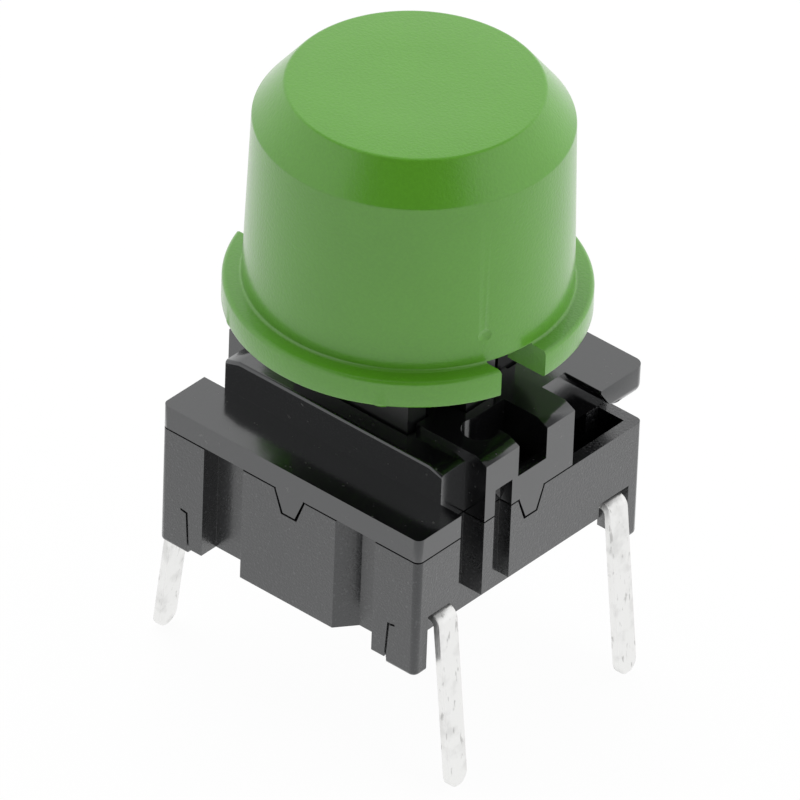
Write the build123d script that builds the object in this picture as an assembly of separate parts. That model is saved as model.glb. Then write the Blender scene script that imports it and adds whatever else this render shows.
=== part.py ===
"""Tactile push button switch: a square two-part housing with a round cap on a sprung plunger.

Sizes are in millimetres. Heights in the functions are measured up from the circuit board's
surface; place() lifts every finished piece so that z = 0 is at the tips of the leads.
X runs along the front face, Y from the front face to the rear, Z up along the button's travel.
"""
import os
from math import radians, tan

from build123d import *

# Housing, overall
BODY = 10.0            # width and depth of the square housing
UNDERSIDE = 0.2        # gap under the housing, held by the four corner feet
PARTING = 4.05         # top of the lower housing
JOINT_GAP = 0.05       # line seen between the two housings
LEDGE_TOP = 4.88       # flat step along the front of the upper housing
CORNER_RADIUS = 0.22   # upright corners of both housings

# Lower housing
FOOT_X = 1.1           # corner feet, along X
FOOT_Y = 0.56          # corner feet, along Y
FOOT_ROUND = 0.12      # rounding under each foot
SIDE_UNDERSIDE = 1.47  # raised bottom edge of the two lead sides
SIDE_UNDERCUT = 1.1    # how far that raised edge reaches in
POT_RADIUS = 3.8       # round well that holds dome and seal
POT_WALL = 0.3         # wall left between the well and the rear pockets
FLOOR_TOP = 1.85       # well floor, level with the contact frames
PANEL_HALF = 1.8       # half width of the raised panel in the front and rear faces
PANEL_FLANK = 0.5      # run of the panel's slanted flanks
COLUMN_WIDTH = 1.68    # corner columns beside the panel's recesses
RECESS_DEPTH = 0.65    # depth of those recesses
SEAM_WIDTH = 0.07      # fine cranked seam low on each column
SEAM_DEPTH = 0.1
SEAM_LEAN = 0.1        # how far the seam's foot stands outside its bend
SEAM_CRANK = 0.28      # run of its short upper leg
SEAM_RISE = 0.04       # rise of that leg
SEAM_BELOW = 0.06      # bend below the raised bottom edge of the lead sides
SIDE_WALL = 0.4        # side and rear wall around the rear pockets
POCKET_WIDTH = 1.6     # rear pockets, along X
POCKET_FRONT = 1.95    # front end of the rear pockets
POCKET_FLOOR = 2.2     # floor of the rear pockets
POCKET_WALL = 0.28     # wall left between those pockets and the rear recesses

# Teeth that key the upper housing into the lower one
TOOTH_TOP = 1.05       # width at the parting line
TOOTH_BOTTOM = 0.46    # width at the tip
TOOTH_DROP = 0.72      # length below the parting line
TOOTH_DEPTH = 0.5      # thickness, into the wall
TOOTH_GAP = 0.07       # clearance around each tooth

# Channels down the two lead sides
CHANNEL_FRONT = -3.15  # also the front wall of the raised block
CHANNEL_REAR = -2.1    # also the front of the side posts
CHANNEL_DEPTH = 0.8
SLOT_FRONT = -1.65     # narrow slot under each front post
SLOT_REAR = -0.9
SLOT_DEPTH = 0.45
SLOT_TOP = 5.0

# Upper housing
FRONT_TOP = 6.02       # top of the front block
FRONT_EDGE_RUN = 0.5   # long low bevel on the front block's ends
FRONT_EDGE_DROP = 0.14
FRONT_SOFTEN = 0.1     # rounding of the block's front edges
POST_TOP = 6.26        # top of the side posts
POST_BEVEL_RUN = 0.4
POST_BEVEL_DROP = 0.2
POST_REAR = 1.82       # rear end of the side posts
CRADLE_FRONT = -0.65   # open cradle between the posts
CRADLE_REAR = 0.6
CRADLE_WALL = 0.35
CRADLE_WALL_TOP = 4.98
CRADLE_FLOOR = 4.4
CRADLE_DEPTH = 1.7     # from the side face inwards
DIMPLE_RADIUS = 0.55   # round recess in each front post
DIMPLE_X = 3.78
DIMPLE_Y = -1.02
DIMPLE_FLOOR = 5.2
REAR_HALF = 3.6        # half width of the rear block
PLATE_FRONT = 3.0      # overhanging rear plate
PLATE_TOP = 6.12
PLATE_UNDER = 5.12
PLATE_NOSE = 0.1       # flat nose at the plate's front edge
PLATE_STEEP_RUN = 0.4  # first, steep slant behind the nose
PLATE_STEEP_FOOT = 5.46
PLATE_SLANT_RUN = 1.2  # both slants together
PLATE_ROUND = 0.3      # rounding under the rear edge
PLATE_CORNER = 0.36    # upright corners of the plate
SKIRT_FIT = 0.05       # clearance between the skirt and the well
SKIRT_WALL = 0.6
CEILING = 4.3          # underside of the plunger guide

# Plunger
STEM_X = 2.2           # half sizes of the square guide section
STEM_Y = 2.4
RIB_REACH = 2.9        # ribs on the two lead sides
RIB_HALF = 0.62
GROOVE_HALF = 1.6      # the section is full width beyond this Y
GROOVE_DEPTH = 0.5
GUIDE_GAP = 0.08       # running clearance of the guide
FLANGE_GAP = 0.2       # clearance of the stop flange in the skirt
STOP_GAP = 0.08        # flange below the ceiling when released
FLANGE_HEIGHT = 0.5
SHOULDER_TOP = 9.0     # the cap's socket sits here
SPIGOT_HALF = 1.6      # square spigot inside the cap's socket
SPIGOT_TOP = 14.0
SPIGOT_BEVEL = 0.3
SPRING_BORE_RADIUS = 1.7
SPRING_BORE_TOP = 8.5
TRAVEL = 1.2           # full travel of the button

# Cap
CAP_TOP = 16.1
CAP_TOP_RADIUS = 3.8
CAP_EDGE_RADIUS = 4.71
CAP_EDGE_DROP = 1.15
CAP_FOOT_RADIUS = 4.86
CAP_RIM_RADIUS = 5.43
CAP_RIM_BOTTOM = 8.48
CAP_RIM_HEIGHT = 0.9
CAP_WALL = 0.85
CAP_ROOF = 0.8
CAP_SOFTEN = 0.12      # rounding of the cap's edges
CAP_COVE = 0.1         # cove between rim and barrel
CAP_NOTCH_FRONT = -1.76  # notches in the rim, one on each lead side, ahead of the middle
CAP_NOTCH_REAR = -0.15
CAP_NOTCH_HEIGHT = 0.95
SOCKET_WALL = 0.7
SOCKET_FIT = 0.02
SOCKET_BITE = 0.1      # how far the socket runs into the roof
NUB_WIDTH = 0.74       # four ejector nubs under the rim
NUB_PROUD = 0.08
NUB_HEIGHT = 0.2
NUB_TURN = 57          # degrees from the lead sides

# Seal, dome and spring
SEAL_RIM_TOP = 2.5
SEAL_RIM_WIDTH = 0.65
SEAL_WEB_BOTTOM = 2.3
SEAL_WEB = 0.15
PUCK_RADIUS = 1.3
PUCK_SEAT_RADIUS = 1.64
PUCK_SEAT_HEIGHT = 0.3
PUCK_TOP = 3.6
DOME_CLEAR = 0.5       # from the dome's edge to the seal's rim
DOME_RISE = 0.38
DOME_SHEET = 0.08
WIRE = 0.3
SPRING_RADIUS = 1.45   # to the middle of the wire
SPRING_TURNS = 7

# Contact frames and leads
SHEET = 0.25           # thickness of the stamped frames
LEAD_WIDTH = 0.8
LEAD_Y = 3.81          # lead rows, 7.62 apart
LEAD_X = 5.08          # leads at the root, 10.16 apart
LEAD_DROP = 4.1        # length below the board's surface
LEAD_SPLAY = 6.5       # degrees outwards
LEAD_BEND = 0.3        # radius to the middle of the sheet
LEAD_INSET = 4.3       # strip is buried in the housing up to here
MOULD_GAP = 0.01       # around the buried frames
NOTCH_HALF = 0.66      # opening around each lead
NOTCH_ROOF = 1.95
TONGUE_HALF = 0.5
PAD_RADIUS = 0.8
RING_BITE = 0.5        # contact ring inside the dome's edge
RING_MARGIN = 0.35     # contact ring outside the dome's edge
RING_OPENING = 1.0
NECK_HALF = 0.6

HALF = BODY / 2
PLUNGER_BOTTOM = CEILING - STOP_GAP - FLANGE_HEIGHT
SKIRT_RADIUS = POT_RADIUS - SKIRT_FIT
SKIRT_BORE = SKIRT_RADIUS - SKIRT_WALL
DOME_RADIUS = SKIRT_RADIUS - SEAL_RIM_WIDTH - DOME_CLEAR
RING_INNER = DOME_RADIUS - RING_BITE
RING_OUTER = DOME_RADIUS + RING_MARGIN
PAST = 0.5             # how far cutting shapes run past a face


def block(x, y, z):
    """A box between two limits on each axis."""
    middle = Pos((x[0] + x[1]) / 2, (y[0] + y[1]) / 2, (z[0] + z[1]) / 2)
    return middle * Box(x[1] - x[0], y[1] - y[0], z[1] - z[0])


def upright(radius, z):
    """A cylinder about Z between two heights."""
    return Pos(0, 0, (z[0] + z[1]) / 2) * Cylinder(radius, z[1] - z[0])


def both_sides(shape):
    """The shape and its mirror image across the middle of the switch."""
    return shape + mirror(shape, Plane.YZ)


def prism_z(points, z):
    """An outline in X and Y, between two heights."""
    return extrude(Pos(0, 0, z[0]) * make_face(Polyline(*points, close=True)), z[1] - z[0])


def prism_y(points, y):
    """An outline in X and Z, between two depths."""
    face = Plane.XZ * make_face(Polyline(*points, close=True))
    return Pos(0, y[0], 0) * extrude(face, -(y[1] - y[0]))


def prism_x(points, x):
    """An outline in Y and Z, between two widths."""
    face = Plane.YZ * make_face(Polyline(*points, close=True))
    return Pos(x[0], 0, 0) * extrude(face, x[1] - x[0])


def tooth(gap, top):
    """One keying tooth on the front face, grown by a gap, up to a height."""
    half_top = TOOTH_TOP / 2 + gap
    half_tip = TOOTH_BOTTOM / 2 + gap
    tip = PARTING - TOOTH_DROP - gap
    outline = [(-half_tip, tip), (half_tip, tip), (half_top, PARTING), (half_top, top),
               (-half_top, top), (-half_top, PARTING)]
    return prism_y(outline, (-HALF - gap, -HALF + TOOTH_DEPTH + gap))


def teeth(gap, top):
    """The four teeth, one in the middle of each face."""
    one = tooth(gap, top)
    return one + [Rot(0, 0, turn) * one for turn in (90, 180, 270)]


def side_channels(top):
    """The wide channel and the narrow slot cut down both lead sides."""
    channel = block((HALF - CHANNEL_DEPTH, HALF + PAST), (CHANNEL_FRONT, CHANNEL_REAR),
                    (-PAST, top))
    slot = block((HALF - SLOT_DEPTH, HALF + PAST), (SLOT_FRONT, SLOT_REAR),
                 (-PAST, SLOT_TOP))
    return both_sides(channel + slot)


def face_recesses():
    """Recesses between the panel and the corner columns, front and rear."""
    column = HALF - COLUMN_WIDTH
    outline = [(PANEL_HALF, -HALF), (PANEL_HALF + PANEL_FLANK, -HALF + RECESS_DEPTH),
               (column, -HALF + RECESS_DEPTH), (column, -HALF - PAST),
               (PANEL_HALF, -HALF - PAST)]
    front = both_sides(prism_z(outline, (-PAST, PARTING + PAST)))
    return front + mirror(front, Plane.XZ)


def column_seams():
    """Fine cranked seam lines low on the four corner columns."""
    x = HALF - FOOT_X
    bend = SIDE_UNDERSIDE - SEAM_BELOW
    end = x + SEAM_CRANK
    outline = [(x - SEAM_LEAN, 0), (x, bend + SEAM_WIDTH),
               (end, bend + SEAM_WIDTH + SEAM_RISE), (end, bend + SEAM_RISE),
               (x + SEAM_WIDTH, bend), (x + SEAM_WIDTH - SEAM_LEAN, 0)]
    front = both_sides(prism_y(outline, (-HALF - PAST, -HALF + SEAM_DEPTH)))
    return front + mirror(front, Plane.XZ)


def corner_feet():
    """Four feet that stand on the board, rounded at the bottom."""
    foot = block((HALF - FOOT_X, HALF), (-HALF, -HALF + FOOT_Y), (0, UNDERSIDE + PAST))
    foot = fillet(foot.edges().filter_by(Axis.Z).sort_by(Axis.X)[-2:].sort_by(Axis.Y)[0],
                  CORNER_RADIUS)
    foot = fillet(foot.faces().sort_by(Axis.Z)[0].edges().sort_by(Axis.X)[-1],
                  FOOT_ROUND)
    front = both_sides(foot)
    return front + mirror(front, Plane.XZ)


def rear_pockets():
    """Open pockets in the two rear corners, clear of the round well and the rear recesses."""
    outer = HALF - SIDE_WALL
    over = PARTING + 2 * PAST
    pocket = block((outer - POCKET_WIDTH, outer), (POCKET_FRONT, outer),
                   (POCKET_FLOOR, PARTING + PAST))
    recess_end = HALF - COLUMN_WIDTH + POCKET_WALL
    recess_back = HALF - RECESS_DEPTH - POCKET_WALL
    kept = block((-recess_end, recess_end), (recess_back, HALF), (0, over))
    return both_sides(pocket) - upright(POT_RADIUS + POT_WALL, (0, over)) - kept


def lead_openings():
    """Clear space around the leads where they leave the lower housing."""
    opening = block((LEAD_INSET, HALF + PAST), (LEAD_Y - NOTCH_HALF, LEAD_Y + NOTCH_HALF),
                    (-PAST, NOTCH_ROOF))
    side = both_sides(opening)
    return side + mirror(side, Plane.XZ)


def lower_housing():
    """The base: a square tray with a round well, columns, feet and lead openings."""
    shell = block((-HALF, HALF), (-HALF, HALF), (UNDERSIDE, PARTING))
    shell = fillet(shell.edges().filter_by(Axis.Z), CORNER_RADIUS)
    inner = HALF - FOOT_Y
    under = block((HALF - SIDE_UNDERCUT, HALF + PAST), (-inner, inner), (-PAST, SIDE_UNDERSIDE))
    shell = shell - both_sides(under)
    shell = shell + corner_feet()
    shell = shell - face_recesses() - side_channels(PARTING + PAST) - column_seams()
    shell = shell - lead_openings()
    shell = shell - upright(POT_RADIUS, (FLOOR_TOP, PARTING + PAST)) - rear_pockets()
    shell = shell - teeth(TOOTH_GAP, PARTING + PAST)
    return shell - frame_cavity(front_plan(MOULD_GAP)) - frame_cavity(rear_plan(MOULD_GAP))


def plunger_section(gap):
    """Plan of the guided part of the plunger, grown by a gap."""
    plan = Rectangle(2 * (STEM_X + gap), 2 * (STEM_Y + gap))
    groove_length = GROOVE_HALF - gap
    groove = Pos(STEM_X + gap, 0) * Rectangle(2 * GROOVE_DEPTH, 2 * groove_length)
    plan = plan - groove - mirror(groove, Plane.YZ)
    return plan + Rectangle(2 * (RIB_REACH + gap), 2 * (RIB_HALF + gap))


def front_block():
    """The raised block behind the ledge, bevelled at both ends and softened in front."""
    end = HALF - CHANNEL_DEPTH
    shoulder = FRONT_TOP - FRONT_EDGE_DROP
    low = PARTING + JOINT_GAP
    outline = [(-end, low), (end, low), (end, shoulder), (end - FRONT_EDGE_RUN, FRONT_TOP),
               (-end + FRONT_EDGE_RUN, FRONT_TOP), (-end, shoulder)]
    shape = prism_y(outline, (CHANNEL_FRONT, CHANNEL_REAR + PAST))
    front = shape.faces().sort_by(Axis.Y)[0].edges().sort_by(Axis.Z)[-3:]
    return fillet(front, FRONT_SOFTEN)


def side_posts():
    """The full-width middle block that carries the four posts."""
    shoulder = POST_TOP - POST_BEVEL_DROP
    inner = HALF - POST_BEVEL_RUN
    low = PARTING + JOINT_GAP
    outline = [(-HALF, low), (HALF, low), (HALF, shoulder), (inner, POST_TOP),
               (-inner, POST_TOP), (-HALF, shoulder)]
    return prism_y(outline, (CHANNEL_REAR, POST_REAR))


def cradles():
    """The open cradles between the posts, each behind a low wall."""
    wall = block((HALF - CRADLE_WALL, HALF + PAST), (CRADLE_FRONT, CRADLE_REAR),
                 (CRADLE_WALL_TOP, POST_TOP + PAST))
    well = block((HALF - CRADLE_DEPTH, HALF - CRADLE_WALL), (CRADLE_FRONT, CRADLE_REAR),
                 (CRADLE_FLOOR, POST_TOP + PAST))
    return both_sides(wall + well)


def rear_block():
    """The block and the overhanging plate behind the posts."""
    low = PARTING + JOINT_GAP
    core = block((-REAR_HALF, REAR_HALF), (POST_REAR - PAST, HALF), (low, PLATE_TOP))
    steep_end = PLATE_FRONT + PLATE_STEEP_RUN
    outline = [(PLATE_FRONT, PLATE_TOP), (HALF, PLATE_TOP), (HALF, PLATE_UNDER),
               (PLATE_FRONT + PLATE_SLANT_RUN, PLATE_UNDER), (steep_end, PLATE_STEEP_FOOT),
               (PLATE_FRONT, PLATE_TOP - PLATE_NOSE)]
    plate = prism_x(outline, (-HALF, HALF))
    lower_edge = plate.faces().sort_by(Axis.Z)[0].edges().sort_by(Axis.Y)[-1]
    plate = fillet(lower_edge, PLATE_ROUND)
    plate = fillet(plate.faces().sort_by(Axis.Y)[-1].edges().filter_by(Axis.Z), PLATE_CORNER)
    return core + plate


def upper_housing():
    """The cover: ledge, raised block, posts, rear plate, plunger guide and skirt."""
    low = PARTING + JOINT_GAP
    ledge = block((-HALF, HALF), (-HALF, CHANNEL_FRONT), (low, LEDGE_TOP))
    corners = ledge.edges().filter_by(Axis.Z).sort_by(Axis.Y)[:2]
    ledge = fillet(corners, CORNER_RADIUS)
    cover = ledge + front_block() + side_posts() + rear_block()
    cover = cover - cradles() - side_channels(POST_TOP + PAST)
    dimple = Pos(DIMPLE_X, DIMPLE_Y, 0) * upright(DIMPLE_RADIUS, (DIMPLE_FLOOR, POST_TOP + PAST))
    cover = cover - both_sides(dimple)
    cover = cover + upright(SKIRT_RADIUS, (SEAL_RIM_TOP, low + PAST))
    cover = cover + teeth(0, low)
    cover = cover - upright(SKIRT_BORE, (SEAL_RIM_TOP - PAST, CEILING))
    return cover - extrude(Pos(0, 0, CEILING - PAST) * plunger_section(GUIDE_GAP), POST_TOP)


def plunger():
    """The moving post: stop flange, guided section, spigot for the cap and spring bore."""
    guided = extrude(Pos(0, 0, PLUNGER_BOTTOM) * plunger_section(0), SHOULDER_TOP - PLUNGER_BOTTOM)
    flange = upright(SKIRT_BORE - FLANGE_GAP, (PLUNGER_BOTTOM, PLUNGER_BOTTOM + FLANGE_HEIGHT))
    spigot = block((-SPIGOT_HALF, SPIGOT_HALF), (-SPIGOT_HALF, SPIGOT_HALF),
                   (SHOULDER_TOP - PAST, SPIGOT_TOP))
    spigot = chamfer(spigot.faces().sort_by(Axis.Z)[-1].edges(), SPIGOT_BEVEL)
    bore = upright(SPRING_BORE_RADIUS, (PLUNGER_BOTTOM - PAST, SPRING_BORE_TOP))
    trimmed = guided & upright(SKIRT_BORE - FLANGE_GAP, (0, SHOULDER_TOP))
    above = block((-HALF, HALF), (-HALF, HALF), (CEILING + TRAVEL, SHOULDER_TOP))
    return trimmed + (guided & above) + flange + spigot - bore


def cap_barrel():
    """The turned shape of the cap, hollow from below."""
    rim_top = CAP_RIM_BOTTOM + CAP_RIM_HEIGHT
    edge = CAP_TOP - CAP_EDGE_DROP
    roof = CAP_TOP - CAP_ROOF
    outline = [(0, CAP_TOP), (CAP_TOP_RADIUS, CAP_TOP), (CAP_EDGE_RADIUS, edge),
               (CAP_FOOT_RADIUS, rim_top), (CAP_RIM_RADIUS, rim_top),
               (CAP_RIM_RADIUS, CAP_RIM_BOTTOM), (CAP_FOOT_RADIUS - CAP_WALL, CAP_RIM_BOTTOM),
               (CAP_EDGE_RADIUS - CAP_WALL, edge), (CAP_TOP_RADIUS - CAP_WALL, roof), (0, roof)]
    shape = revolve(Plane.XZ * make_face(Polyline(*outline, close=True)), Axis.Z)
    rings = shape.edges().filter_by(GeomType.CIRCLE)
    crown = [ring for ring in rings if ring.radius in (CAP_TOP_RADIUS, CAP_EDGE_RADIUS)
             or abs(ring.radius - CAP_RIM_RADIUS) < 1e-6]
    shape = fillet(crown, CAP_SOFTEN)
    cove = [ring for ring in shape.edges().filter_by(GeomType.CIRCLE)
            if abs(ring.radius - CAP_FOOT_RADIUS) < 1e-6]
    return fillet(cove, CAP_COVE)


def cap():
    """The round cap with rim notches, ejector nubs and a square socket."""
    shell = cap_barrel()
    nub = block((CAP_RIM_RADIUS - NUB_WIDTH / 2, CAP_RIM_RADIUS - NUB_PROUD),
                (-NUB_WIDTH / 2, NUB_WIDTH / 2),
                (CAP_RIM_BOTTOM - NUB_PROUD, CAP_RIM_BOTTOM + NUB_HEIGHT))
    for turn in (NUB_TURN, 180 - NUB_TURN, 180 + NUB_TURN, -NUB_TURN):
        shell = shell + Rot(0, 0, turn) * nub
    hole = SPIGOT_HALF + SOCKET_FIT
    tube = hole + SOCKET_WALL
    socket = block((-tube, tube), (-tube, tube),
                   (SHOULDER_TOP, CAP_TOP - CAP_ROOF + SOCKET_BITE))
    shell = shell + socket
    shell = shell - block((-hole, hole), (-hole, hole),
                          (SHOULDER_TOP - PAST, SPIGOT_TOP + SOCKET_FIT))
    notch = block((CAP_FOOT_RADIUS - CAP_WALL - PAST, CAP_RIM_RADIUS + PAST),
                  (CAP_NOTCH_FRONT, CAP_NOTCH_REAR),
                  (CAP_RIM_BOTTOM - PAST, CAP_RIM_BOTTOM + CAP_NOTCH_HEIGHT))
    return shell - both_sides(notch)


def seal_membrane():
    """The soft seal: clamped rim, thin web and a puck that carries the spring."""
    outer = SKIRT_RADIUS
    web_top = SEAL_WEB_BOTTOM + SEAL_WEB
    seat = PUCK_TOP - PUCK_SEAT_HEIGHT
    inner = outer - SEAL_RIM_WIDTH
    outline = [(0, SEAL_WEB_BOTTOM), (inner, SEAL_WEB_BOTTOM), (inner, FLOOR_TOP),
               (outer, FLOOR_TOP), (outer, SEAL_RIM_TOP), (inner, SEAL_RIM_TOP),
               (inner, web_top), (PUCK_RADIUS, web_top), (PUCK_RADIUS, seat),
               (PUCK_SEAT_RADIUS, seat), (PUCK_SEAT_RADIUS, PUCK_TOP), (0, PUCK_TOP)]
    return revolve(Plane.XZ * make_face(Polyline(*outline, close=True)), Axis.Z)


def snap_dome():
    """The shallow metal dome that clicks: a thin slice of a sphere."""
    outer = (DOME_RADIUS ** 2 + DOME_RISE ** 2) / (2 * DOME_RISE)
    centre = FLOOR_TOP + DOME_RISE - outer
    sheet = Sphere(outer) - Sphere(outer - DOME_SHEET)
    keep = block((-BODY, BODY), (-BODY, BODY), (FLOOR_TOP, PARTING))
    return (Pos(0, 0, centre) * sheet) & keep


def return_spring():
    """The coil spring between the seal's puck and the roof of the plunger's bore."""
    low = PUCK_TOP + WIRE / 2
    height = SPRING_BORE_TOP - PUCK_TOP - WIRE
    path = Helix(height / SPRING_TURNS, height, SPRING_RADIUS)
    section = Plane(origin=path @ 0, z_dir=path % 0) * Circle(WIRE / 2)
    return Pos(0, 0, low) * sweep(section, path=path, is_frenet=True)


def front_plan(gap):
    """Plan of the buried part of the front contact frame, grown by a gap."""
    strip = Pos(0, -LEAD_Y) * Rectangle(2 * (LEAD_INSET + gap), LEAD_WIDTH + 2 * gap)
    tongue = Pos(0, -LEAD_Y / 2) * Rectangle(2 * (TONGUE_HALF + gap), LEAD_Y)
    return strip + tongue + Circle(PAD_RADIUS + gap)


def rear_plan(gap):
    """Plan of the buried part of the rear contact frame, grown by a gap."""
    strip = Pos(0, LEAD_Y) * Rectangle(2 * (LEAD_INSET + gap), LEAD_WIDTH + 2 * gap)
    neck_length = LEAD_Y - RING_INNER - SHEET
    neck = Pos(0, LEAD_Y - neck_length / 2) * Rectangle(2 * (NECK_HALF + gap), neck_length)
    opening = Pos(0, -RING_OUTER) * Rectangle(2 * (RING_OPENING - gap), 2 * RING_OUTER)
    ring = Circle(RING_OUTER + gap) - Circle(RING_INNER - gap) - opening
    return strip + neck + ring


def frame_cavity(plan):
    """The space that a buried frame takes in the lower housing."""
    return extrude(Pos(0, 0, FLOOR_TOP - SHEET - MOULD_GAP) * plan, SHEET + 2 * MOULD_GAP)


def lead():
    """One lead on the +X side at Y = 0: out of the housing, over a bend and down."""
    centre = FLOOR_TOP - SHEET / 2
    reach = LEAD_X + (centre + LEAD_DROP) * tan(radians(LEAD_SPLAY))
    path = FilletPolyline((LEAD_INSET, 0, centre), (LEAD_X, 0, centre),
                          (reach, 0, -LEAD_DROP), radius=LEAD_BEND)
    section = Plane(origin=path @ 0, x_dir=(0, 1, 0), z_dir=path % 0)
    strip = sweep(section * Rectangle(LEAD_WIDTH, SHEET), path=path)
    half = LEAD_WIDTH / 2
    keep = block((0, BODY), (-half, half), (half - LEAD_DROP, PARTING))
    tip = Pos(reach, 0, half - LEAD_DROP) * Rot(0, 90, 0) * Cylinder(half, 4 * SHEET)
    return strip & (keep + tip)


def contact_frame(plan, row):
    """A stamped frame: its buried plan and the two leads at its ends."""
    flat = extrude(Pos(0, 0, FLOOR_TOP - SHEET) * plan, SHEET)
    return flat + both_sides(Pos(0, row, 0) * lead())


def place(shape):
    """Lift a piece from the board's surface to the frame of the whole switch."""
    return Pos(0, 0, LEAD_DROP) * shape


def main():
    """Write one STEP file for each piece."""
    pieces = {
        "cap": cap(),
        "plunger": plunger(),
        "upper_housing": upper_housing(),
        "lower_housing": lower_housing(),
        "seal_membrane": seal_membrane(),
        "return_spring": return_spring(),
        "snap_dome": snap_dome(),
        "front_contact_frame": contact_frame(front_plan(0), -LEAD_Y),
        "rear_contact_frame": contact_frame(rear_plan(0), LEAD_Y),
    }
    os.makedirs("parts", exist_ok=True)
    for name, shape in pieces.items():
        export_step(place(shape), f"parts/{name}.step")


if __name__ == "__main__":
    main()
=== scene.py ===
"""Looks of a board-mounted push button switch: cap, plunger, two housings and tinned leads."""
from math import atan2, cos, pi, radians, sin, tan

import bmesh
import bpy
from bpy.props import BoolProperty, FloatProperty, FloatVectorProperty, IntProperty, PointerProperty
from mathutils import Matrix, Vector


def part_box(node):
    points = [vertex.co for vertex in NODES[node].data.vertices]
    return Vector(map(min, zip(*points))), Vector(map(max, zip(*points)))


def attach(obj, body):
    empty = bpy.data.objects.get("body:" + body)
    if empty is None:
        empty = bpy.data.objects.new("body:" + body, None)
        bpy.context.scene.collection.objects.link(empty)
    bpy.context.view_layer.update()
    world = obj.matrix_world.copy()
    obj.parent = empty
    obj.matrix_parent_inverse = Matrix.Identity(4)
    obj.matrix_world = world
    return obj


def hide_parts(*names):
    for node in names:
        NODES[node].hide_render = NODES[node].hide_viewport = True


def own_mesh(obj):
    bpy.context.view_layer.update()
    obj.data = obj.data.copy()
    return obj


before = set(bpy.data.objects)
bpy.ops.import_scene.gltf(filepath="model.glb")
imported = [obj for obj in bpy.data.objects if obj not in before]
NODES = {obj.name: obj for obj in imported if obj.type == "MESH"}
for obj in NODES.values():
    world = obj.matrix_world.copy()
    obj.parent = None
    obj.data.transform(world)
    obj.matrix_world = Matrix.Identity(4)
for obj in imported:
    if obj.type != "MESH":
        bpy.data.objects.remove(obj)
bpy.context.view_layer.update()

bl_info = {
    "name": "Push Button Switch",
    "version": (1, 0, 0),
    "blender": (4, 5, 0),
    "location": "3D View > Sidebar > Switch",
    "description": "Builds the finished pieces of a board-mounted push button switch",
    "category": "Object",
}

MM = 0.001
CAP_LOW, CAP_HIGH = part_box("cap")
SPRING_LOW, SPRING_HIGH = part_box("return_spring")
CAP_TALL = 7.62 * MM           # from the foot of the rim to the top
LOWER_LOW, LOWER_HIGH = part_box("lower_housing")
BOARD = LOWER_LOW.z            # height of the board's surface above the lead tips
PLUNGER_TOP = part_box("plunger")[1].z


# ---------------------------------------------------------------- settings

def length(name, description, default):
    """A size property, given in millimetres."""
    return FloatProperty(name=name, description=description, default=default * MM,
                         min=0.0, subtype="DISTANCE", unit="LENGTH", precision=5)


def colour(name, description, default):
    """A linear colour property."""
    return FloatVectorProperty(name=name, description=description, default=default,
                               size=4, min=0.0, max=1.0, subtype="COLOR")


class CapSettings(bpy.types.PropertyGroup):
    """Sizes and colour of the round cap."""
    top_radius: length("Top radius", "Radius of the flat top", 3.8)
    edge_radius: length("Edge radius", "Radius where the bevel meets the barrel", 4.71)
    foot_radius: length("Foot radius", "Radius of the barrel at the rim", 4.86)
    rim_radius: length("Rim radius", "Radius of the rim", 5.43)
    bevel_drop: length("Bevel drop", "Height of the bevel round the top", 1.15)
    rim_height: length("Rim height", "Thickness of the rim", 0.9)
    wall: length("Wall", "Thickness of the barrel", 0.85)
    roof: length("Roof", "Thickness of the top", 0.8)
    soften: length("Edge rounding", "Radius of the cap's outer edges", 0.14)
    cove: length("Cove", "Radius between barrel and rim", 0.1)
    notch_front: length("Notch front", "Near end of the rim's notches, ahead of the middle", 1.76)
    notch_rear: length("Notch rear", "Far end of the rim's notches, ahead of the middle", 0.15)
    notch_height: length("Notch height", "Height of the rim's notches", 0.95)
    tint: colour("Cap colour", "Colour of the moulded cap", (0.078, 0.27, 0.012, 1.0))


class HousingSettings(bpy.types.PropertyGroup):
    """Edges and colours of the two housings and the plunger."""
    cover_edge: length("Cover edge", "Rounding of the upper housing's edges", 0.045)
    base_edge: length("Base edge", "Rounding of the lower housing's edges", 0.04)
    cover_tint: colour("Cover colour", "Colour of the upper housing", (0.0045, 0.0045, 0.005, 1.0))
    base_tint: colour("Base colour", "Colour of the lower housing", (0.006, 0.006, 0.0068, 1.0))


class MetalSettings(bpy.types.PropertyGroup):
    """Leads, dome and spring."""
    lead_edge: length("Lead edge", "Rounding of the stamped edges", 0.025)
    wire_radius: length("Wire radius", "Radius of the spring wire", 0.15)
    turns: IntProperty(name="Turns", description="Turns of the spring", default=7, min=2)
    tin: colour("Tin colour", "Colour of the tin plate", (0.86, 0.86, 0.85, 1.0))


class StageSettings(bpy.types.PropertyGroup):
    """Camera and lights."""
    azimuth: FloatProperty(name="Azimuth", description="Camera's angle round the switch",
                           default=radians(40.0), subtype="ANGLE")
    elevation: FloatProperty(name="Elevation", description="Camera's angle above the floor",
                             default=radians(35.63), subtype="ANGLE")
    roll: FloatProperty(name="Roll", description="Camera's lean", default=radians(2.18),
                        subtype="ANGLE")
    distance: length("Distance", "From the camera to its aim", 435.235)
    lens: FloatProperty(name="Lens", description="Focal length in millimetres", default=675.0)
    show_floor: BoolProperty(name="Floor", description="Make the floor", default=True)


# ---------------------------------------------------------------- shader maths

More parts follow.
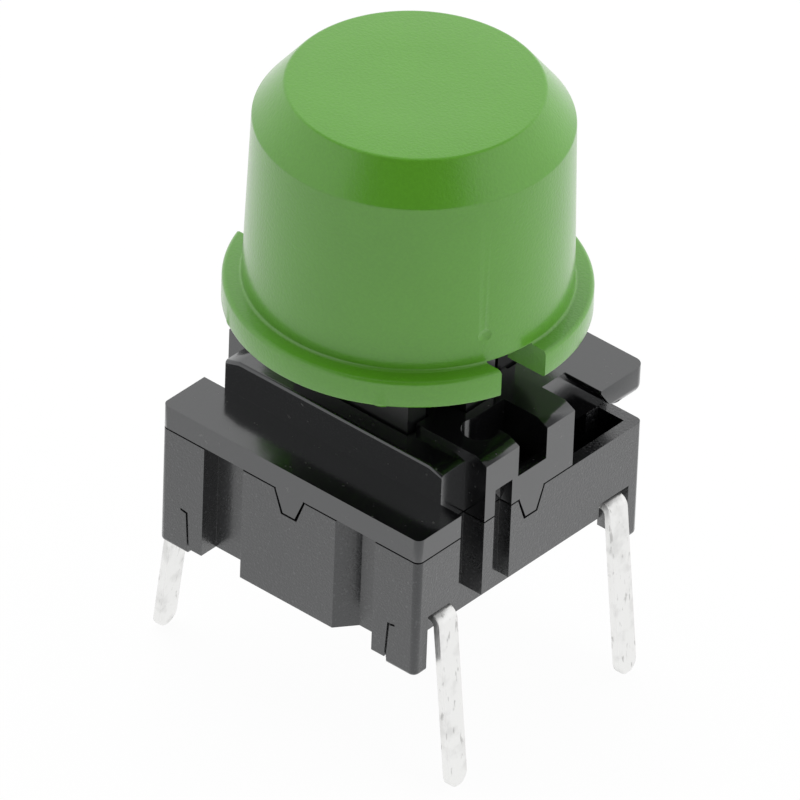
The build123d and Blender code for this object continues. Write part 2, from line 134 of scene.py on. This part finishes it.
class Wire:
    """A socket that can be added, multiplied and mixed in Python expressions."""

    def __init__(self, shader, socket):
        self.shader = shader
        self.socket = socket

    def math(self, operation, *others, swap=False):
        values = [self, *others]
        if swap:
            values.reverse()
        return self.shader.node("ShaderNodeMath", {"operation": operation},
                                dict(enumerate(values)))

    def __add__(self, other):
        return self.math("ADD", other)

    def __radd__(self, other):
        return self.math("ADD", other, swap=True)

    def __sub__(self, other):
        return self.math("SUBTRACT", other)

    def __rsub__(self, other):
        return self.math("SUBTRACT", other, swap=True)

    def __mul__(self, other):
        return self.math("MULTIPLY", other)

    def __rmul__(self, other):
        return self.math("MULTIPLY", other, swap=True)

    def __truediv__(self, other):
        return self.math("DIVIDE", other)

    def __gt__(self, other):
        return self.math("GREATER_THAN", other)

    def clamped(self):
        """The value held between 0 and 1."""
        return self.shader.node("ShaderNodeClamp", {}, {"Value": self}, "Result")


class Shader:
    """A material or world whose nodes are made by calls, one method for every node."""

    def __init__(self, name, world=None):
        self.material = world or bpy.data.materials.new(name)
        self.material.use_nodes = True
        self.tree = self.material.node_tree
        self.tree.nodes.clear()
        place = "Generated" if world else "Object"
        self.place = self.node("ShaderNodeTexCoord", {}, {}, place)

    def node(self, kind, settings, inputs, output=0):
        """Adds a node: its settings first, then the values or links of its sockets."""
        made = self.tree.nodes.new(kind)
        for key, value in settings.items():
            setattr(made, key, value)
        for key, value in inputs.items():
            if isinstance(value, Wire):
                self.tree.links.new(value.socket, made.inputs[key])
            else:
                made.inputs[key].default_value = value
        return Wire(self, made.outputs[output])

    def ramp(self, value, *stops):
        """A value passed through a ramp of (position, grey) stops."""
        made = self.tree.nodes.new("ShaderNodeValToRGB")
        elements = made.color_ramp.elements
        while len(elements) < len(stops):
            elements.new(0.5)
        for element, (position, grey) in zip(elements, stops):
            element.position = position
            element.color = (grey, grey, grey, 1.0)
        self.tree.links.new(value.socket, made.inputs["Fac"])
        return Wire(self, made.outputs["Color"])

    def noise(self, per_mm, detail=3.0, roughness=0.5, stretch=(1.0, 1.0, 1.0)):
        """Noise with so many features to the millimetre, drawn out along an axis if asked."""
        scale = [per_mm / MM * part for part in stretch]
        spot = self.node("ShaderNodeMapping", {}, {"Vector": self.place, "Scale": scale}, "Vector")
        return self.node("ShaderNodeTexNoise", {},
                         {"Vector": spot, "Scale": 1.0, "Detail": detail,
                          "Roughness": roughness}, 0)

    def mix(self, factor, first, second):
        """A colour between two colours."""
        made = self.tree.nodes.new("ShaderNodeMix")
        made.data_type = "RGBA"
        for key, value in ((0, factor), (6, first), (7, second)):
            if isinstance(value, Wire):
                self.tree.links.new(value.socket, made.inputs[key])
            else:
                made.inputs[key].default_value = value
        return Wire(self, made.outputs[2])

    def bump(self, height, strength, depth_mm):
        """A normal from a height."""
        return self.node("ShaderNodeBump", {},
                         {"Height": height, "Strength": strength, "Distance": depth_mm * MM},
                         "Normal")

    def surface(self, **inputs):
        """Ends the material in one Principled shader."""
        keyed = {key.replace("_", " "): value for key, value in inputs.items()}
        shader = self.node("ShaderNodeBsdfPrincipled", {}, keyed, "BSDF")
        self.finish(shader)
        return self.material

    def finish(self, shader, kind="ShaderNodeOutputMaterial"):
        """Links a shader to the output."""
        output = self.tree.nodes.new(kind)
        self.tree.links.new(shader.socket, output.inputs["Surface"])


def tinted(tint, factor):
    """A colour made lighter or darker."""
    return [min(1.0, part * factor) for part in tint[:3]] + [1.0]


def cap_plastic(tint):
    """Satin green moulding with the fine grain of an eroded mould."""
    shader = Shader("cap_plastic")
    cloud = shader.noise(0.35, detail=4.0)
    grain = shader.noise(11.0, detail=2.0)
    base = shader.mix(cloud, tinted(tint, 0.93), tinted(tint, 1.07))
    base = shader.mix(shader.ramp(grain, (0.35, 0.0), (0.75, 0.22)), base, tinted(tint, 1.35))
    return shader.surface(Base_Color=base, Roughness=0.26 + grain * 0.1, IOR=1.5,
                          Coat_Weight=0.55, Coat_Roughness=0.16,
                          Normal=shader.bump(grain, 0.6, 0.016))


def cover_plastic(tint):
    """Semi-gloss black moulding with faint flow marks and a few pale specks of dust."""
    shader = Shader("cover_plastic")
    flow = shader.noise(0.9, detail=4.0, stretch=(1.0, 0.35, 1.0))
    fine = shader.noise(14.0, detail=2.0)
    dust = shader.ramp(shader.noise(5.5, detail=1.0), (0.74, 0.0), (0.79, 1.0))
    base = shader.mix(dust * 0.5, list(tint), (0.09, 0.09, 0.085, 1.0))
    rough = 0.1 + flow * 0.12 + dust * 0.25
    return shader.surface(Base_Color=base, Roughness=rough, IOR=1.57, Coat_Weight=1.0,
                          Coat_Roughness=0.13, Specular_Tint=(0.94, 0.97, 1.0, 1.0),
                          Normal=shader.bump(fine, 0.3, 0.008))


def base_plastic(tint):
    """Matte black glass-filled moulding with a fine spark-eroded grain."""
    shader = Shader("base_plastic")
    grain = shader.noise(12.0, detail=3.0, roughness=0.65)
    patch = shader.noise(1.3, detail=4.0)
    fleck = shader.ramp(shader.noise(9.0, detail=2.0), (0.6, 0.0), (0.7, 1.0))
    base = shader.mix(fleck * 0.5, shader.mix(patch, tinted(tint, 0.6), tinted(tint, 1.5)),
                      (0.075, 0.077, 0.08, 1.0))
    rough = 0.16 + grain * 0.16 + patch * 0.1
    return shader.surface(Base_Color=base, Roughness=rough, IOR=1.52, Coat_Weight=1.0,
                          Coat_Roughness=0.2, Specular_Tint=(0.94, 0.97, 1.0, 1.0),
                          Normal=shader.bump(grain, 0.9, 0.02))


def plunger_plastic(tint):
    """Smooth black moulding of the plunger."""
    shader = Shader("plunger_plastic")
    cloud = shader.noise(1.2, detail=3.0)
    fine = shader.noise(12.0, detail=2.0)
    base = shader.mix(cloud, tinted(tint, 0.9), tinted(tint, 1.3))
    return shader.surface(Base_Color=base, Roughness=0.24 + cloud * 0.12, IOR=1.52,
                          Coat_Weight=0.8, Coat_Roughness=0.22,
                          Normal=shader.bump(fine, 0.25, 0.008))


def tin_plate(tint):
    """Bright tin over stamped strip: drawing lines, small scrapes and dull patches."""
    shader = Shader("tinned_lead")
    lines = shader.noise(14.0, detail=3.0, stretch=(1.0, 1.0, 0.05))
    patch = shader.ramp(shader.noise(1.8, detail=4.0), (0.5, 0.0), (0.68, 1.0))
    scrape = shader.ramp(shader.noise(6.0, detail=3.0, stretch=(1.0, 1.0, 0.3)),
                         (0.62, 0.0), (0.7, 1.0))
    base = shader.mix(patch * 0.35, list(tint), (0.6, 0.6, 0.59, 1.0))
    base = shader.mix(scrape * 0.6, base, (0.36, 0.36, 0.35, 1.0))
    rough = 0.24 + lines * 0.16 + patch * 0.14
    return shader.surface(Base_Color=base, Metallic=1.0, Roughness=rough,
                          Normal=shader.bump(lines + patch * 0.6, 0.5, 0.012))


def spring_steel():
    """Bright steel of the dome and the spring wire."""
    shader = Shader("spring_steel")
    haze = shader.noise(4.0, detail=3.0)
    base = shader.mix(haze, (0.5, 0.5, 0.51, 1.0), (0.68, 0.68, 0.69, 1.0))
    return shader.surface(Base_Color=base, Metallic=1.0, Roughness=0.22 + haze * 0.16,
                          Normal=shader.bump(haze, 0.15, 0.005))


def seal_rubber():
    """Translucent-looking grey silicone, soft and dull."""
    shader = Shader("seal_rubber")
    cloud = shader.noise(1.5, detail=4.0)
    base = shader.mix(cloud, (0.38, 0.37, 0.35, 1.0), (0.5, 0.48, 0.45, 1.0))
    return shader.surface(Base_Color=base, Roughness=0.5 + cloud * 0.15,
                          Normal=shader.bump(cloud, 0.2, 0.01))


# ---------------------------------------------------------------- mesh helpers

def show(mesh, name, material, crease=38.0):
    """Turns a bmesh into a smooth-shaded object with weighted normals."""
    data = bpy.data.meshes.new(name)
    mesh.to_mesh(data)
    mesh.free()
    data.materials.clear()
    data.materials.append(material)
    data.polygons.foreach_set("use_smooth", [True] * len(data.polygons))
    data.polygons.foreach_set("material_index", [0] * len(data.polygons))
    data.set_sharp_from_angle(angle=radians(crease))
    piece = bpy.data.objects.new(name, data)
    bpy.context.scene.collection.objects.link(piece)
    weighted = piece.modifiers.new("Weighted normals", "WEIGHTED_NORMAL")
    weighted.keep_sharp = True
    return piece


def dress(piece, body, node):
    """Puts a finished piece on its body, in place of a node."""
    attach(piece, body)
    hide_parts(node)


def merged_copy(node):
    """A copy of a node's mesh with its triangles joined and its flats dissolved."""
    mesh = bmesh.new()
    mesh.from_mesh(NODES[node].data)
    bmesh.ops.remove_doubles(mesh, verts=mesh.verts, dist=0.0005 * MM)
    bmesh.ops.dissolve_limit(mesh, angle_limit=radians(0.4), verts=mesh.verts, edges=mesh.edges,
                             use_dissolve_boundaries=False, delimit=set())
    return mesh


def rounded(mesh, width, angle=32.0, segments=2):
    """Rounds every edge of a mesh that is sharper than an angle."""
    limit = radians(angle)
    sharp = [edge for edge in mesh.edges
             if len(edge.link_faces) == 2 and edge.calc_face_angle(0.0) > limit]
    bmesh.ops.bevel(mesh, geom=sharp, offset=width, offset_type="OFFSET", affect="EDGES",
                    segments=segments, profile=0.5, material=-1, clamp_overlap=True)
    return mesh


def softened(node, name, width, material, segments=2):
    """A node's shape with softly rounded edges, as a new piece."""
    return show(rounded(merged_copy(node), width, segments=segments), name, material)


def arc(centre, radius, start, end, steps):
    """Points of an arc in X and Z, from one angle to another, in degrees."""
    turns = [radians(start + (end - start) * step / steps) for step in range(steps + 1)]
    return [(centre[0] + radius * cos(turn), centre[1] + radius * sin(turn)) for turn in turns]


def spun(points, segments):
    """A closed solid of revolution about Z from an outline of (radius, height) points."""
    mesh = bmesh.new()
    verts = [mesh.verts.new((radius, 0.0, height)) for radius, height in points]
    loop = [mesh.edges.new(pair) for pair in zip(verts, verts[1:])]
    bmesh.ops.spin(mesh, geom=verts + loop, cent=(0, 0, 0), axis=(0, 0, 1), angle=2 * pi,
                   steps=segments, use_merge=True, use_duplicate=False)
    bmesh.ops.remove_doubles(mesh, verts=mesh.verts, dist=0.0002 * MM)
    bmesh.ops.recalc_face_normals(mesh, faces=mesh.faces)
    return mesh


def solid_box(mesh, low, high, turn=0.0):
    """Adds a box between two corners, turned about Z."""
    low, high = Vector(low), Vector(high)
    made = bmesh.ops.create_cube(mesh, size=1.0)["verts"]
    size = Matrix.Diagonal((*(high - low), 1.0))
    matrix = Matrix.Rotation(turn, 4, "Z") @ Matrix.Translation((low + high) / 2) @ size
    bmesh.ops.transform(mesh, matrix=matrix, verts=made)
    return made


def carved(mesh, cutter, operation):
    """Joins or cuts one mesh with another and returns the result."""
    holders = []
    for part in (mesh, cutter):
        data = bpy.data.meshes.new("part")
        part.to_mesh(data)
        part.free()
        holder = bpy.data.objects.new("part", data)
        bpy.context.scene.collection.objects.link(holder)
        holders.append(holder)
    change = holders[0].modifiers.new("Carve", "BOOLEAN")
    change.operation = operation
    change.solver = "EXACT"
    change.object = holders[1]
    bpy.context.view_layer.update()
    shaped = holders[0].evaluated_get(bpy.context.evaluated_depsgraph_get())
    result = bmesh.new()
    result.from_mesh(shaped.to_mesh())
    shaped.to_mesh_clear()
    for holder in holders:
        data = holder.data
        bpy.data.objects.remove(holder)
        bpy.data.meshes.remove(data)
    return result


# ---------------------------------------------------------------- cap

def cap_outline(sizes):
    """Outline of the hollow cap from the middle of its top to the middle of its ceiling."""
    top, rim_low = CAP_HIGH.z, CAP_HIGH.z - CAP_TALL
    rim_top = rim_low + sizes.rim_height
    edge = top - sizes.bevel_drop
    soft = sizes.soften
    slope = atan2(sizes.bevel_drop, sizes.edge_radius - sizes.top_radius)
    points = [(0.0, top), (sizes.top_radius * 0.5, top)]
    reach = soft * tan(slope / 2)
    start = (sizes.top_radius - reach, top - soft)
    points += arc(start, soft, 90, 90 - slope * 180 / pi, 5)
    lean = atan2(sizes.foot_radius - sizes.edge_radius, edge - rim_top)
    bend = (pi / 2 - slope - lean) / 2
    back = soft * tan(bend)
    corner = (sizes.edge_radius - soft * cos(lean) - back * sin(0.0), edge - back)
    points += arc(corner, soft, 90 - slope * 180 / pi, lean * 180 / pi, 5)
    cove = (sizes.foot_radius + sizes.cove, rim_top + sizes.cove)
    points += arc(cove, sizes.cove, 180, 270, 6)
    points += arc((sizes.rim_radius - soft, rim_top - soft), soft, 90, 0, 5)
    points += arc((sizes.rim_radius - soft * 0.6, rim_low + soft * 0.6), soft * 0.6, 0, -90, 4)
    inner_foot = sizes.foot_radius - sizes.wall
    points += [(inner_foot, rim_low), (sizes.edge_radius - sizes.wall, edge),
               (sizes.top_radius - sizes.wall, top - sizes.roof), (0.0, top - sizes.roof)]
    return points


def add_nub(mesh, turn, rim_radius, rim_low):
    """Adds one low ejector nub under the rim, shaped like a lens."""
    made = bmesh.ops.create_uvsphere(mesh, u_segments=20, v_segments=12, radius=0.37 * MM)["verts"]
    bmesh.ops.scale(mesh, vec=(0.6, 1.0, 0.5), verts=made)
    bmesh.ops.translate(mesh, vec=(rim_radius - 0.2 * MM, 0.0, rim_low + 0.1 * MM), verts=made)
    bmesh.ops.rotate(mesh, cent=(0, 0, 0), matrix=Matrix.Rotation(turn, 3, "Z"), verts=made)


def cap_mesh(sizes):
    """The cap: barrel with rim, notches, ejector nubs, gate mark and inner socket."""
    rim_low = CAP_HIGH.z - CAP_TALL
    mesh = spun(cap_outline(sizes), 160)
    nubs = bmesh.new()
    for turn in (57, 123, 237, 303):
        add_nub(nubs, radians(turn), sizes.rim_radius, rim_low)
    mesh = carved(mesh, nubs, "UNION")
    socket = bmesh.new()
    half = 2.32 * MM
    solid_box(socket, (-half, -half, rim_low + 0.44 * MM), (half, half, CAP_HIGH.z - 0.6 * MM))
    mesh = carved(mesh, socket, "UNION")
    hollow = bmesh.new()
    half = 1.62 * MM
    solid_box(hollow, (-half, -half, rim_low - MM), (half, half, PLUNGER_TOP + 0.02 * MM))
    mesh = carved(mesh, hollow, "DIFFERENCE")
    notches = bmesh.new()
    inner = sizes.foot_radius - sizes.wall - 0.4 * MM
    outer = sizes.rim_radius + MM
    for low, high in ((inner, outer), (-outer, -inner)):
        solid_box(notches, (low, -sizes.notch_front, rim_low - 0.5 * MM),
                  (high, -sizes.notch_rear, rim_low + sizes.notch_height))
    mesh = carved(mesh, notches, "DIFFERENCE")
    gate = bmesh.new()
    bmesh.ops.create_uvsphere(gate, u_segments=16, v_segments=10, radius=0.5 * MM)
    spot = Vector((4.89 * MM, -1.97 * MM, rim_low + 1.88 * MM))
    bmesh.ops.translate(gate, vec=spot, verts=gate.verts)
    return carved(mesh, gate, "DIFFERENCE")


class SWITCH_OT_cap(bpy.types.Operator):
    """Make the round cap"""
    bl_idname = "switch.cap"
    bl_label = "Cap"

    def execute(self, context):
        sizes = context.scene.switch_cap
        piece = show(cap_mesh(sizes), "round_cap", cap_plastic(sizes.tint), crease=30.0)
        dress(piece, "button", "cap")
        return {"FINISHED"}


# ---------------------------------------------------------------- other pieces

class SWITCH_OT_plunger(bpy.types.Operator):
    """Make the square plunger under the cap"""
    bl_idname = "switch.plunger"
    bl_label = "Plunger"

    def execute(self, context):
        material = plunger_plastic(context.scene.switch_housing.cover_tint)
        piece = softened("plunger", "square_plunger", context.scene.switch_housing.cover_edge,
                         material)
        dress(piece, "button", "plunger")
        return {"FINISHED"}


class SWITCH_OT_housings(bpy.types.Operator):
    """Make the upper and the lower housing"""
    bl_idname = "switch.housings"
    bl_label = "Housings"

    def execute(self, context):
        sizes = context.scene.switch_housing
        cover = softened("upper_housing", "cover", sizes.cover_edge,
                         cover_plastic(sizes.cover_tint))
        dress(cover, "housing", "upper_housing")
        base = softened("lower_housing", "base", sizes.base_edge, base_plastic(sizes.base_tint))
        dress(base, "housing", "lower_housing")
        return {"FINISHED"}


def add_burr(mesh, place, lean, scale):
    """Adds a small shear burr, a flattened spike that points along Y."""
    squat = Matrix.Diagonal((1.0, 0.55, 1.0, 1.0))
    turn = Matrix.Rotation(radians(-90 + lean), 4, "X")
    bmesh.ops.create_cone(mesh, cap_ends=True, segments=8, radius1=0.13 * MM * scale,
                          radius2=0.02 * MM, depth=0.26 * MM * scale,
                          matrix=Matrix.Translation(place) @ turn @ squat)


def lead_burrs(mesh, side):
    """Adds the burrs that the cut-off tool leaves near the tips of one frame's leads."""
    low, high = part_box(f"{side}_contact_frame")
    row = (low.y if side == "front" else high.y - 0.8 * MM) + 0.8 * MM
    reach = high.x - 0.16 * MM
    rise = 0.5 * MM if side == "front" else 0.32 * MM
    add_burr(mesh, (reach - 0.05 * MM, row + 0.02 * MM, rise), 20, 1.0)
    add_burr(mesh, (-reach, row - 0.02 * MM, rise * 0.8), -10, 0.7)


class SWITCH_OT_contacts(bpy.types.Operator):
    """Make the two stamped contact frames with their leads"""
    bl_idname = "switch.contacts"
    bl_label = "Contact frames"

    def execute(self, context):
        sizes = context.scene.switch_metal
        tin = tin_plate(sizes.tin)
        for side in ("front", "rear"):
            node = f"{side}_contact_frame"
            mesh = rounded(merged_copy(node), sizes.lead_edge)
            lead_burrs(mesh, side)
            dress(show(mesh, f"{side}_leads", tin), "housing", node)
        return {"FINISHED"}


class SWITCH_OT_inside(bpy.types.Operator):
    """Make the seal and the snap dome"""
    bl_idname = "switch.inside"
    bl_label = "Seal and dome"

    def execute(self, context):
        seal = softened("seal_membrane", "silicone_seal", 0.03 * MM, seal_rubber())
        dress(seal, "housing", "seal_membrane")
        dome = show(merged_copy("snap_dome"), "click_dome", spring_steel())
        dress(dome, "housing", "snap_dome")
        return {"FINISHED"}


def spring_mesh(wire, turns, steps=28):
    """A coil spring wound from a circle of wire, closed at both ends."""
    radius = SPRING_HIGH.x - wire
    rise = SPRING_HIGH.z - SPRING_LOW.z - 2 * wire
    mesh = bmesh.new()
    ring = bmesh.ops.create_circle(mesh, cap_ends=True, segments=12, radius=wire)["verts"]
    upright = Matrix.Translation((radius, 0.0, SPRING_LOW.z + wire)) @ Matrix.Rotation(pi / 2, 4, "X")
    bmesh.ops.transform(mesh, matrix=upright, verts=ring)
    start = list(mesh.faces)
    geom = list(mesh.verts) + list(mesh.edges) + start
    bmesh.ops.spin(mesh, geom=geom, cent=(0, 0, 0), axis=(0, 0, 1), angle=2 * pi * turns,
                   dvec=(0, 0, rise / (turns * steps)), steps=turns * steps,
                   use_merge=False, use_duplicate=False)
    bmesh.ops.recalc_face_normals(mesh, faces=mesh.faces)
    return mesh


class SWITCH_OT_spring(bpy.types.Operator):
    """Make the coil spring inside the plunger"""
    bl_idname = "switch.spring"
    bl_label = "Spring"

    def execute(self, context):
        sizes = context.scene.switch_metal
        piece = show(spring_mesh(sizes.wire_radius, sizes.turns), "coil_spring", spring_steel())
        dress(piece, "housing", "return_spring")
        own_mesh(piece)
        return {"FINISHED"}


# ---------------------------------------------------------------- stage

def floor_material():
    """A pale floor: white where the camera or a gloss sees it lit, with a soft shadow."""
    shader = Shader("pale_floor")
    path = {"Is Camera Ray": None, "Is Glossy Ray": None, "Is Transmission Ray": None}
    rays = [shader.node("ShaderNodeLightPath", {}, {}, name) for name in path]
    seen = rays[0]
    mirrored = (rays[1] + rays[2]).clamped()
    lit = shader.node("ShaderNodeBsdfDiffuse", {}, {"Color": (0.88, 0.88, 0.88, 1.0)}, "BSDF")
    glow = shader.node("ShaderNodeEmission", {}, {"Color": (1, 1, 1, 1), "Strength": 1.0},
                       "Emission")
    share = (seen * 0.96 + mirrored).clamped()
    shader.finish(shader.node("ShaderNodeMixShader", {}, {0: share, 1: lit, 2: glow},
                                   "Shader"))
    return shader.material


def add_lamp(name, place, aim, size, energy, glossy=True):
    """A square soft light aimed at a point."""
    data = bpy.data.lights.new(name, "AREA")
    data.shape = "SQUARE"
    data.size = size
    data.energy = energy
    lamp = bpy.data.objects.new(name, data)
    lamp.location = place
    lamp.rotation_euler = (Vector(aim) - Vector(place)).to_track_quat("-Z", "Y").to_euler()
    lamp.visible_glossy = glossy
    bpy.context.scene.collection.objects.link(lamp)


def add_world():
    """A bright surround, grey overhead and dim on the side where the camera stands."""
    world = bpy.data.worlds.new("studio")
    world.use_nodes = True
    bpy.context.scene.world = world
    studio = Shader("studio", world)
    height = studio.node("ShaderNodeSeparateXYZ", {}, {"Vector": studio.place}, "Z")
    overhead = studio.ramp(height, (0.62, 0.0), (0.8, 1.0))
    facing = studio.node("ShaderNodeVectorMath", {"operation": "DOT_PRODUCT"},
                         {0: studio.place, 1: (0.5, -0.6, 0.62)}, "Value")
    dim = studio.ramp(facing, (0.72, 0.0), (0.9, 1.0))
    shade = 1.35 - overhead * 0.9
    shade = shade * (1.0 - dim * 0.88)
    lit = studio.node("ShaderNodeBackground", {}, {"Strength": shade}, "Background")
    white = studio.node("ShaderNodeBackground", {}, {"Color": (1, 1, 1, 1)}, "Background")
    seen = studio.node("ShaderNodeLightPath", {}, {}, "Is Camera Ray")
    mixed = studio.node("ShaderNodeMixShader", {}, {0: seen, 1: lit, 2: white}, "Shader")
    studio.finish(mixed, "ShaderNodeOutputWorld")


def add_camera(view):
    """The camera, aimed a little beside the middle of the switch."""
    data = bpy.data.cameras.new("camera")
    data.sensor_width = 36.0
    data.lens = view.lens
    data.clip_start = 0.01
    data.clip_end = 10.0
    camera = bpy.data.objects.new("camera", data)
    turn, rise, roll = view.azimuth, view.elevation, view.roll
    back = Vector((sin(turn) * cos(rise), -cos(turn) * cos(rise), sin(rise)))
    right = Vector((cos(turn), sin(turn), 0.0))
    up = back.cross(right)
    side = cos(roll) * right + sin(roll) * up
    head = -sin(roll) * right + cos(roll) * up
    aim = Vector((1.817 * MM, -2.323 * MM, BOARD + 7.0 * MM))
    place = aim + back * view.distance
    camera.matrix_world = Matrix((side, head, back)).transposed().to_4x4()
    camera.location = place
    bpy.context.scene.collection.objects.link(camera)
    bpy.context.scene.camera = camera


class SWITCH_OT_stage(bpy.types.Operator):
    """Make the floor, the lights and the camera"""
    bl_idname = "switch.stage"
    bl_label = "Stage"

    def execute(self, context):
        view = context.scene.switch_stage
        context.scene.view_settings.view_transform = "Standard"
        add_camera(view)
        add_world()
        add_lamp("key", (-0.08, 0.03, 0.22), (0, 0, 0.01), 0.16, 0.3, glossy=False)
        add_lamp("fill", (0.22, 0.08, 0.1), (0, 0, 0.01), 0.16, 0.14, glossy=False)
        add_lamp("rim", (0.05, 0.2, 0.12), (0, 0, 0.012), 0.18, 0.16, glossy=False)
        if view.show_floor:
            mesh = bmesh.new()
            bmesh.ops.create_grid(mesh, x_segments=1, y_segments=1, size=1.5)
            floor = show(mesh, "floor", floor_material())
            floor.location.z = 0.0
        return {"FINISHED"}


class SWITCH_PT_panel(bpy.types.Panel):
    """Lists the switch's pieces"""
    bl_label = "Push button switch"
    bl_space_type = "VIEW_3D"
    bl_region_type = "UI"
    bl_category = "Switch"

    def draw(self, context):
        for group in ("switch_cap", "switch_housing", "switch_metal", "switch_stage"):
            settings = getattr(context.scene, group)
            column = self.layout.box().column()
            for name in settings.bl_rna.properties.keys():
                if name not in ("rna_type", "name"):
                    column.prop(settings, name)
        for operator in OPERATORS:
            self.layout.operator(operator.bl_idname)


SETTINGS = {"switch_cap": CapSettings, "switch_housing": HousingSettings,
            "switch_metal": MetalSettings, "switch_stage": StageSettings}
OPERATORS = (SWITCH_OT_stage, SWITCH_OT_cap, SWITCH_OT_plunger, SWITCH_OT_housings,
             SWITCH_OT_contacts, SWITCH_OT_inside, SWITCH_OT_spring)


def register():
    for group in SETTINGS.values():
        bpy.utils.register_class(group)
    for name, group in SETTINGS.items():
        setattr(bpy.types.Scene, name, PointerProperty(type=group))
    for operator in OPERATORS:
        bpy.utils.register_class(operator)
    bpy.utils.register_class(SWITCH_PT_panel)


def unregister():
    bpy.utils.unregister_class(SWITCH_PT_panel)
    for operator in reversed(OPERATORS):
        bpy.utils.unregister_class(operator)
    for name, group in SETTINGS.items():
        delattr(bpy.types.Scene, name)
        bpy.utils.unregister_class(group)


def main():
    register()
    bpy.ops.switch.stage()
    bpy.ops.switch.cap()
    bpy.ops.switch.plunger()
    bpy.ops.switch.housings()
    bpy.ops.switch.contacts()
    bpy.ops.switch.inside()
    bpy.ops.switch.spring()


if __name__ == "__main__":
    main()
